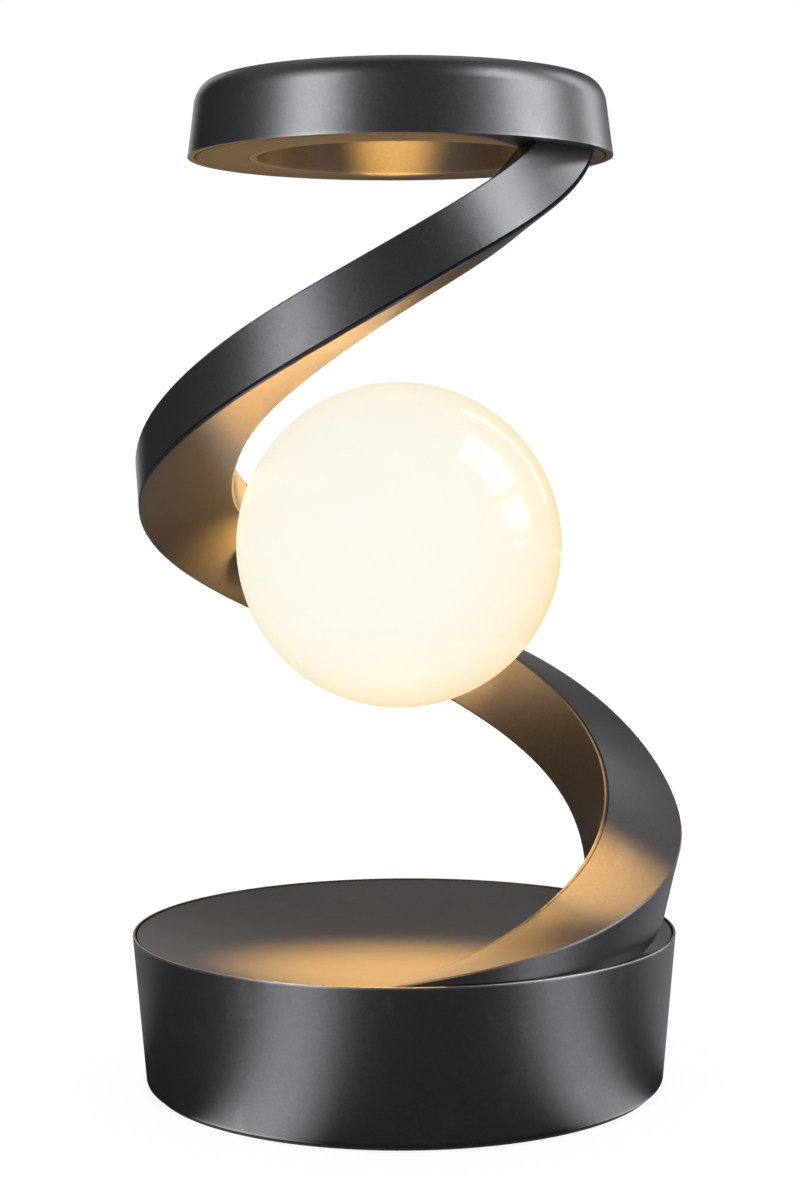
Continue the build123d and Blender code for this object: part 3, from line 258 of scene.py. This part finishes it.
def graphite(name, edge=None, wear_and_highlight=HANDLED_AND_HIGHLIGHT_GRAPHITE):
    """Satin graphite powder coat: fine grain, a faint orange peel, lighter handled patches of wear, and,
    where an edge is given, a painted highlight along it.
    """
    material, s = painted(name)
    grain = s.noise(POWDER_GRAIN, detail=3.0, rough=0.6)
    flake = s.cell_tones(METAL_FLAKE)
    peel = s.noise(ORANGE_PEEL, detail=1.0)
    cloud = s.noise(CLOUD, detail=3.0)
    handled = s.noise(HANDLED_PATCH, detail=5.0, rough=0.65).rise(0.56, 0.78)
    tone = (0.45 * grain + 0.25 * flake + 0.3 * cloud).held()
    wear_and_highlight_mask = handled * 0.25
    # Painted highlight: the given edge is lightened, broken up by noise.
    if edge:
        wear_and_highlight_mask = (wear_and_highlight_mask + edge(s) * (0.35 + 0.65 * s.noise(HIGHLIGHT_BREAKUP, detail=4.0, rough=0.7))).held()
    colour = s.mix(wear_and_highlight_mask, s.mix(tone, GRAPHITE_DARK, GRAPHITE_LIGHT), wear_and_highlight)
    rough = GRAPHITE_ROUGHNESS + 0.10 * (grain - 0.5) + 0.07 * (cloud - 0.5) - 0.06 * wear_and_highlight_mask
    normal = s.bumps(0.7 * grain + 0.3 * peel, GRAPHITE_DEPTH, strength=0.5)
    s.finish(Base_Color=colour, Metallic=0.92, Roughness=rough, Normal=normal)
    return material


def rim_painted_highlight(s):
    """A painted highlight along the drum's top edge."""
    outer = s.radius().rise(RIM_RADIUS - RIM_HIGHLIGHT_WIDTH, RIM_RADIUS)
    upper = s.place()[2].rise(RIM_HEIGHT - RIM_HIGHLIGHT_STARTS, RIM_HEIGHT - RIM_HIGHLIGHT_FULL)
    return (outer * upper).held()


def ring_painted_highlight(s):
    """A painted highlight along the ring's lower edges."""
    return RING_HIGHLIGHT * (1.0 - s.place()[2].rise(RING_BOTTOM, RING_BOTTOM + RING_HIGHLIGHT_HEIGHT))


def opal():
    """Smooth opal plastic, lit from inside: it glows, with painted shade that leaves it brightest at its
    front and its back and dimmer and warmer round its sides.
    """
    material, s = painted("opal_plastic")
    facing = 0.0
    for side, centre, share in zip(s.place(), GLOBE_CENTRE, SHADE_FRONT):
        facing = (side - centre) * share + facing
    # The glow is real light, but its warmer, dimmer band round the sides is painted shade.
    glow = s.node("ShaderNodeValToRGB", {"stops": OPAL_GLOW_AND_PAINTED_RIM_SHADE}, {0: 0.5 + 0.5 * (facing / GLOBE_RADIUS)})
    lit = s.mix(0.03 * s.noise(0.02, detail=2.0), glow, OPAL_SWIRL)
    rough = 0.10 + 0.04 * s.noise(0.004, detail=3.0)
    normal = s.bumps(s.noise(0.006, detail=1.0), 0.00002, strength=0.3)
    s.finish(Base_Color=OPAL_UNLIT, Roughness=rough, Emission_Color=lit, Emission_Strength=OPAL_STRENGTH,
             IOR=1.49, Normal=normal)
    return material


# ---------------------------------------------------------------- finishes of what is mostly hidden
# Turned metal: the grain is finer up the axis than across it, as tool marks are.
TURNED = (1.0, 1.0, 9.0)
PLAIN_FINISHES = {
    "foot_rubber": dict(dark=(0.012, 0.012, 0.012), light=(0.028, 0.028, 0.028), rough=0.75, grain=0.0006,
                        depth=0.0001),
    "cover_black": dict(dark=(0.022, 0.022, 0.023), light=(0.036, 0.036, 0.037), rough=0.55, grain=0.0007,
                        depth=0.00008),
    "screw_steel": dict(dark=(0.42, 0.42, 0.42), light=(0.62, 0.62, 0.60), rough=0.32, metallic=1.0,
                        grain=0.0004, stretch=TURNED),
    "cast_ballast": dict(dark=(0.07, 0.068, 0.066), light=(0.16, 0.155, 0.15), rough=0.68, metallic=0.7,
                         grain=0.0016, depth=0.0003),
    "brass": dict(dark=(0.62, 0.43, 0.17), light=(0.80, 0.60, 0.28), rough=0.26, metallic=1.0, grain=0.0004,
                  stretch=TURNED),
    "chip_black": dict(dark=(0.018, 0.018, 0.019), light=(0.034, 0.034, 0.036), rough=0.5, grain=0.0003),
    "can_aluminium": dict(dark=(0.55, 0.55, 0.56), light=(0.75, 0.75, 0.76), rough=0.3, metallic=1.0,
                          grain=0.0003, stretch=TURNED),
    "white_plastic": dict(dark=(0.70, 0.69, 0.65), light=(0.80, 0.79, 0.75), rough=0.42, grain=0.0008),
    "black_plastic": dict(dark=(0.020, 0.020, 0.021), light=(0.036, 0.036, 0.038), rough=0.5, grain=0.0007,
                          depth=0.00008),
    "inlet_steel": dict(dark=(0.5, 0.5, 0.5), light=(0.66, 0.66, 0.65), rough=0.3, metallic=1.0,
                        grain=0.0004),
    "lead_sleeving": dict(dark=(0.016, 0.016, 0.017), light=(0.034, 0.034, 0.035), rough=0.6, grain=0.0005),
    "seat_steel": dict(dark=(0.36, 0.36, 0.37), light=(0.54, 0.54, 0.54), rough=0.34, metallic=1.0,
                       grain=0.0004),
    "magnet_nickel": dict(dark=(0.60, 0.59, 0.56), light=(0.74, 0.73, 0.70), rough=0.2, metallic=1.0,
                          grain=0.0006, depth=0.00002),
    "strike_steel": dict(dark=(0.58, 0.58, 0.58), light=(0.72, 0.72, 0.72), rough=0.24, metallic=1.0,
                         grain=0.0005),
    "post_aluminium": dict(dark=(0.52, 0.52, 0.53), light=(0.70, 0.70, 0.71), rough=0.34, metallic=1.0,
                           grain=0.0003),
    "lamp_yellow": dict(dark=(0.80, 0.55, 0.10), light=(0.92, 0.70, 0.22), rough=0.2, grain=0.0002),
}
BOARD_FINISHES = {
    "board_green": dict(mask=(0.015, 0.10, 0.045), track=(0.05, 0.24, 0.09)),
    "board_white": dict(mask=(0.66, 0.66, 0.64), track=(0.80, 0.80, 0.78)),
}


def plain(name, dark, light, rough, grain, metallic=0.0, depth=0.00004, stretch=(1.0, 1.0, 1.0)):
    """A moulded, rolled or turned surface: its grain mixes two close tones, roughens it and dents it."""
    material, s = painted(name)
    fine = s.noise(grain, detail=3.0, rough=0.6, stretch=stretch)
    broad = s.noise(grain * 22.0, detail=3.0)
    tone = (0.55 * fine + 0.45 * broad).held()
    roughness = rough + 0.16 * (fine - 0.5) + 0.10 * (broad - 0.5)
    s.finish(Base_Color=s.mix(tone, dark, light), Metallic=metallic, Roughness=roughness,
             Normal=s.bumps(fine, depth, strength=0.6))
    return material


def circuit_board(name, mask, track):
    """Solder mask over copper tracks: a fine mesh of runs shows through the mask."""
    material, s = painted(name)
    runs = s.cells(0.0035, "DISTANCE_TO_EDGE").rise(0.05, 0.08)
    lands = s.cells(0.0042).rise(0.16, 0.2)
    weave = s.noise(0.0005, detail=2.0)
    colour = s.mix(runs * lands, track, s.mix(weave, mask, tuple(part * 1.25 for part in mask)))
    normal = s.bumps(runs * 0.8 + weave * 0.2, 0.00005, strength=0.6)
    s.finish(Base_Color=colour, Roughness=0.32 + 0.12 * weave, Normal=normal)
    return material


def finishes():
    """Every slot's material, by name."""
    made = {"graphite_paint": graphite("graphite_paint"), "opal_plastic": opal()}
    for name, looks in PLAIN_FINISHES.items():
        made[name] = plain(name, **looks)
    for name, looks in BOARD_FINISHES.items():
        made[name] = circuit_board(name, **looks)
    return made


def dress(materials):
    """Gives each CAD node the material of its slot; the drum and the ring have painted highlights along their
    edges, in materials of their own.
    """
    slots = {part["node"]: part["material_slot"] for part in frame["record"]["subparts"]}
    special = {
        "base_housing": graphite("graphite_drum", rim_painted_highlight, RIM_HIGHLIGHT_AND_WEAR),
        "ring_shell": graphite("graphite_ring", ring_painted_highlight),
    }
    for name, node in frame["nodes"].items():
        material = special.get(name, materials[slots[name]])
        node.data.materials.clear()
        node.data.materials.append(material)


# ---------------------------------------------------------------- lamps
INSIDE_GLOBE = ("globe_shade", "globe_collar", "strike_plate", "pad_carrier", "contact_pads", "post_screws",
                "led_post", "led_board", "led_packages")
# What the studio's lamps spare: the windows spare all but the globe, and the others spare the globe and the
# arm's lining, which the globe itself lights.
ALL_BUT_GLOBE = tuple(name for name in frame["nodes"] if name != "globe_shade")
GLOBE_AND_LINING = ("globe_shade", "arm_cover")

# The globe's two spheres of light stand just outside its shade, and differ in size so that neither hides
# the other.
GLOSS_RADIUS = GLOBE_RADIUS + 0.0002
GLOSS_RADIANCE = 3.4
MATT_RADIUS = GLOBE_RADIUS + 0.0004
MATT_RADIANCE = 7.8
BEAM_RADIUS = 0.004

# The beams from the globe: azimuth, elevation and width in degrees, and intensity.
GLOBE_BEAMS = {
    "low_arm_beam": (63.0, -57.0, 23.0, 3.2),
    "dish_beam": (-7.0, -80.5, 53.0, 3.2),
    "near_dish_beam": (-3.0, -47.0, 54.0, 2.5),
    "low_back_beam": (162.0, -31.0, 29.0, 0.6),
    "high_back_beam": (-137.0, 22.0, 80.0, 1.5),
    "high_left_beam": (-72.0, 12.0, 90.0, 0.25),
    "ring_beam": (-64.0, 76.0, 92.0, 0.62),
    "hole_beam": (-179.0, 74.0, 15.0, 10.0),
}


def toward(azimuth, elevation, distance):
    """The point at that distance from the globe: azimuth 0 is the camera's side and 90 the right."""
    turn, lift = math.radians(azimuth), math.radians(elevation)
    way = Vector((math.sin(turn) * math.cos(lift), -math.cos(turn) * math.cos(lift), math.sin(lift)))
    return GLOBE_CENTRE + way * distance


def placed(name, data):
    """A new object of that data in the scene."""
    made = bpy.data.objects.new(name, data)
    bpy.context.scene.collection.objects.link(made)
    return made


def spare(source, spared, unshaded=False):
    """Lets a lamp or a glowing card light the object's nodes alone, and of those not the spared ones.

    The spared nodes throw no shadow from it either when unshaded is true.
    """
    lit = bpy.data.collections.new(f"{source.name}_lights")
    for name, node in frame["nodes"].items():
        if name not in spared:
            lit.objects.link(node)
    source.light_linking.receiver_collection = lit
    if unshaded:
        source.light_linking.blocker_collection = lit


def soft_box(name, place, size, radiance, spared, up=UPRIGHT):
    """A rectangular lamp at place that faces the globe; radiance 1 shows as white in a mirror."""
    lamp = bpy.data.lights.new(name, "AREA")
    lamp.shape = "RECTANGLE"
    lamp.size, lamp.size_y = size
    lamp.energy = math.pi * size[0] * size[1] * radiance
    holder = placed(name, lamp)
    back = (place - GLOBE_CENTRE).normalized()
    side = up.cross(back).normalized()
    facing = Matrix((side, back.cross(side), back)).transposed().to_4x4()
    holder.matrix_world = Matrix.Translation(place) @ facing
    holder.visible_camera = False
    spare(holder, spared)


def strip_light(name, low, high, width, radiance, spared):
    """A long soft box from the low direction to the high one, each an azimuth and an elevation."""
    ends = [toward(*low, 1.0), toward(*high, 1.0)]
    rise = ends[1] - ends[0]
    soft_box(name, (ends[0] + ends[1]) / 2.0, (width, rise.length), radiance, spared, up=rise.normalized())


def lamps():
    """The studio's soft boxes, each where the photograph's highlights point.

    The windows and the arc show on the globe alone, and the others on all but the globe and the arm's lining.
    """
    def paint_strip(name, low, high, width, radiance):
        strip_light(name, low, high, width, radiance, GLOBE_AND_LINING)

    paint_strip("left_box", low=(-50.0, 8.0), high=(-47.5, 43.0), width=0.42, radiance=4.8)
    paint_strip("right_strip", low=(86.0, 8.0), high=(54.0, 48.0), width=0.38, radiance=4.9)
    paint_strip("back_strip", low=(134.0, 4.0), high=(112.0, 44.0), width=0.18, radiance=4.1)
    paint_strip("left_back_strip", low=(-160.0, -2.0), high=(-154.0, 36.0), width=0.14, radiance=1.6)
    soft_box("top_box", toward(180.0, 62.0, 1.1), size=(0.6, 0.6), radiance=0.4, spared=GLOBE_AND_LINING)
    soft_box("window_top", toward(94.0, 42.0, 0.9), size=(0.42, 0.46), radiance=3.4, spared=ALL_BUT_GLOBE)
    soft_box("window_low", toward(93.0, 15.0, 0.9), size=(0.36, 0.22), radiance=3.4, spared=ALL_BUT_GLOBE)
    strip_light("arc_strip", (136.0, 9.4), (150.2, 45.4), width=0.035, radiance=4.0, spared=ALL_BUT_GLOBE)


def globe_lamp(name, kind, energy, colour, matt, **settings):
    """A warm lamp at the lit globe's centre that moves with it: one for matt surfaces or one for gloss."""
    lamp = bpy.data.lights.new(name, kind)
    lamp.energy = energy
    lamp.color = colour
    # With this many lamps, most of the light on gloss is lost unless this is off.
    lamp.cycles.use_multiple_importance_sampling = False
    for setting, value in settings.items():
        setattr(lamp, setting, value)
    holder = placed(name, lamp)
    holder.parent = frame["bodies"]["globe_shade"]
    holder.location = GLOBE_CENTRE
    holder.visible_camera = False
    holder.visible_diffuse = matt
    holder.visible_glossy = not matt
    spare(holder, INSIDE_GLOBE, unshaded=True)
    return holder


def globe_ball(name, radius, radiance, colour, matt):
    """The warm light that leaves the whole globe, as one sphere just outside its shade."""
    energy = 4.0 * math.pi ** 2 * radius ** 2 * radiance
    globe_lamp(name, "POINT", energy, colour, matt, shadow_soft_size=radius)


def globe_beam(name, azimuth, elevation, width, intensity):
    """A warm beam from the globe on matt paint, width degrees across and soft to its edge."""
    beam = globe_lamp(name, "SPOT", 4.0 * math.pi * intensity, WARM, matt=True, shadow_soft_size=BEAM_RADIUS,
                      spot_size=math.radians(width), spot_blend=1.0)
    beam.rotation_mode = "QUATERNION"
    beam.rotation_quaternion = (toward(azimuth, elevation, 1.0) - GLOBE_CENTRE).to_track_quat("-Z", "Y")


def globe_light():
    """The lit globe's light on the stand."""
    globe_ball("globe_gloss", GLOSS_RADIUS, GLOSS_RADIANCE, DEEP_WARM, matt=False)
    globe_ball("globe_glow", MATT_RADIUS, MATT_RADIANCE, WARM, matt=True)
    for name, beam in GLOBE_BEAMS.items():
        globe_beam(name, *beam)


# ---------------------------------------------------------------- table, cards and world
PINHOLE_RADIUS = 0.0005
TABLE_RADIUS = 30.0
TABLE_DARK = (0.30, 0.30, 0.30)
TABLE_LIGHT = (0.32, 0.32, 0.32)
TABLE_GLOW = 0.90
MATT_SKY = 0.40

# The cards lie just above the table and the ring; the table's card starts just inside the foot's edge.
CARD_LIFT = 0.0004
CARD_INNER_RADIUS = 0.0685
CARD_OUTER_RADIUS = 2.4
CARD_DARK = 0.01
# Its bright strips: azimuth, half the bright width and half the whole width in degrees, and strength.
CARD_STRIPS = (
    (-35.5, 3.0, 20.0, 1.7),
    (54.5, 3.0, 20.0, 1.4),
    (120.0, 14.0, 36.0, 0.4),
    (-128.0, 10.0, 30.0, 0.25),
)

TENT_RADIUS = 2.6
POLE_GAP = 0.02
TENT_DARK = 0.012
TENT_BRIGHT = 0.32
HOLE_FLAG_RADIUS = 0.0392


def grid_mesh(name, points):
    """A stage piece over a grid of points that is closed round its second way."""
    rows, columns = points.shape[:2]
    index = np.arange(rows * columns).reshape(rows, columns)
    following = np.roll(index, -1, axis=1)
    faces = np.stack([index[:-1], index[1:], following[1:], following[:-1]], axis=-1).reshape(-1, 4)
    mesh = bpy.data.meshes.new(name)
    mesh.from_pydata(points.reshape(-1, 3).tolist(), [], faces.tolist())
    mesh.polygons.foreach_set("use_smooth", np.ones(len(mesh.polygons), dtype=bool))
    made = placed(name, mesh)
    return made


def grid(first, last, rows, columns):
    """Two grids: a value that goes from first to last down the rows, and the turn, round the columns."""
    turns = np.linspace(0.0, 2.0 * np.pi, columns, endpoint=False)
    return np.meshgrid(np.linspace(first, last, rows), turns, indexing="ij")


def disc_mesh(name, inner, outer, height):
    """A flat ring between the two radii, finer towards its middle."""
    share, turn = grid(0.0, 1.0, rows=24, columns=96)
    radius = inner + (outer - inner) * share ** 2
    sides = [radius * np.cos(turn), radius * np.sin(turn), np.full_like(turn, height)]
    return grid_mesh(name, np.stack(sides, axis=-1))


def ball_mesh(name, radius):
    """A hollow ball round the origin, open by a pinhole at both poles."""
    polar, turn = grid(POLE_GAP, np.pi - POLE_GAP, rows=40, columns=80)
    sides = [np.sin(polar) * np.cos(turn), np.sin(polar) * np.sin(turn), np.cos(polar)]
    return grid_mesh(name, radius * np.stack(sides, axis=-1))


def floor():
    """A plain white table: mostly its own white, so it keeps only a faint shadow of the foot."""
    table = disc_mesh("table", PINHOLE_RADIUS, TABLE_RADIUS, 0.0)
    material, s = painted("table_white")
    colour = s.mix(s.noise(0.002, detail=2.0), TABLE_DARK, TABLE_LIGHT)
    s.finish(Base_Color=colour, Roughness=0.8, Specular_IOR_Level=0.0, Emission_Color=WHITE,
             Emission_Strength=TABLE_GLOW)
    table.data.materials.append(material)


def card_glow(name, card, glow):
    """Makes a reflection card of the mesh; glow works out its light over its sheet.

    The card shows only in reflections, and not in the globe's: it throws no shadow and lights nothing matt.
    """
    material, s = painted(name)
    emit = s.node("ShaderNodeEmission", None, {"Color": (*WHITE, 1.0), "Strength": glow(s)})
    s.node("ShaderNodeOutputMaterial", None, {"Surface": emit})
    card.data.materials.append(material)
    card.visible_camera = False
    card.visible_diffuse = False
    card.visible_transmission = False
    card.visible_volume_scatter = False
    card.visible_shadow = False
    spare(card, ("globe_shade",))


def table_strips(s):
    """Dark, with bright strips that run out over the table."""
    turn, glow = s.turn(), CARD_DARK
    for azimuth, bright, whole, strength in CARD_STRIPS:
        glow = strength * (1.0 - (turn - azimuth).size().rise(bright, whole)) + glow
    return glow


def tent_sky(s):
    """Dark, with a bright sky high up at the back and a bright backdrop low down behind the object."""
    turn, height = s.turn().size(), s.place()[2] / TENT_RADIUS
    sky = turn.rise(70.0, 120.0) * height.rise(0.5, 0.9)
    backdrop = turn.rise(150.0, 172.0) * (1.0 - height.rise(0.3, 0.7))
    return TENT_DARK + TENT_BRIGHT * sky + TENT_BRIGHT * backdrop


def reflection_cards():
    """Dark cards on the table, round the set and over the ring's hole; only the last throws a shadow."""
    table_card = disc_mesh("table_cards", CARD_INNER_RADIUS, CARD_OUTER_RADIUS, CARD_LIFT)
    card_glow("table_strips", table_card, table_strips)
    card_glow("tent_sky", ball_mesh("dark_tent", TENT_RADIUS), tent_sky)
    flag = disc_mesh("hole_flag", PINHOLE_RADIUS, HOLE_FLAG_RADIUS, RING_TOP + CARD_LIFT)
    card_glow("hole_flag", flag, lambda s: 0.0)
    flag.visible_shadow = True


def world():
    """White behind the object and in what mirrors it, and soft grey light for matt surfaces."""
    bpy.context.scene.world = bpy.data.worlds.new("studio")
    s = Sheet(bpy.context.scene.world)
    camera_ray, glossy_ray, clear_ray = [
        s.node("ShaderNodeLightPath", output=name)
        for name in ("Is Camera Ray", "Is Glossy Ray", "Is Transmission Ray")]
    seen = (camera_ray + glossy_ray + clear_ray).held()
    strength = MATT_SKY + (1.0 - MATT_SKY) * seen
    shade = s.node("ShaderNodeBackground", None, {"Color": (*WHITE, 1.0), "Strength": strength})
    s.node("ShaderNodeOutputWorld", None, {"Surface": shade})


# ---------------------------------------------------------------- camera
def camera():
    """The photograph's view."""
    lens = bpy.data.cameras.new("photo_view")
    lens.lens = CAMERA_LENS
    lens.sensor_width = SENSOR_SIDE
    lens.clip_start, lens.clip_end = 0.01, 100.0
    holder = placed("photo_view", lens)
    tilt = Matrix.Rotation(math.pi / 2.0 - CAMERA_PITCH, 4, "X") @ Matrix.Rotation(CAMERA_ROLL, 4, "Z")
    holder.matrix_world = Matrix.Translation(CAMERA_PLACE) @ tilt
    bpy.context.scene.camera = holder


dress(finishes())
floor()
reflection_cards()
world()
lamps()
globe_light()
camera()
bpy.context.scene.view_settings.view_transform = "Standard"
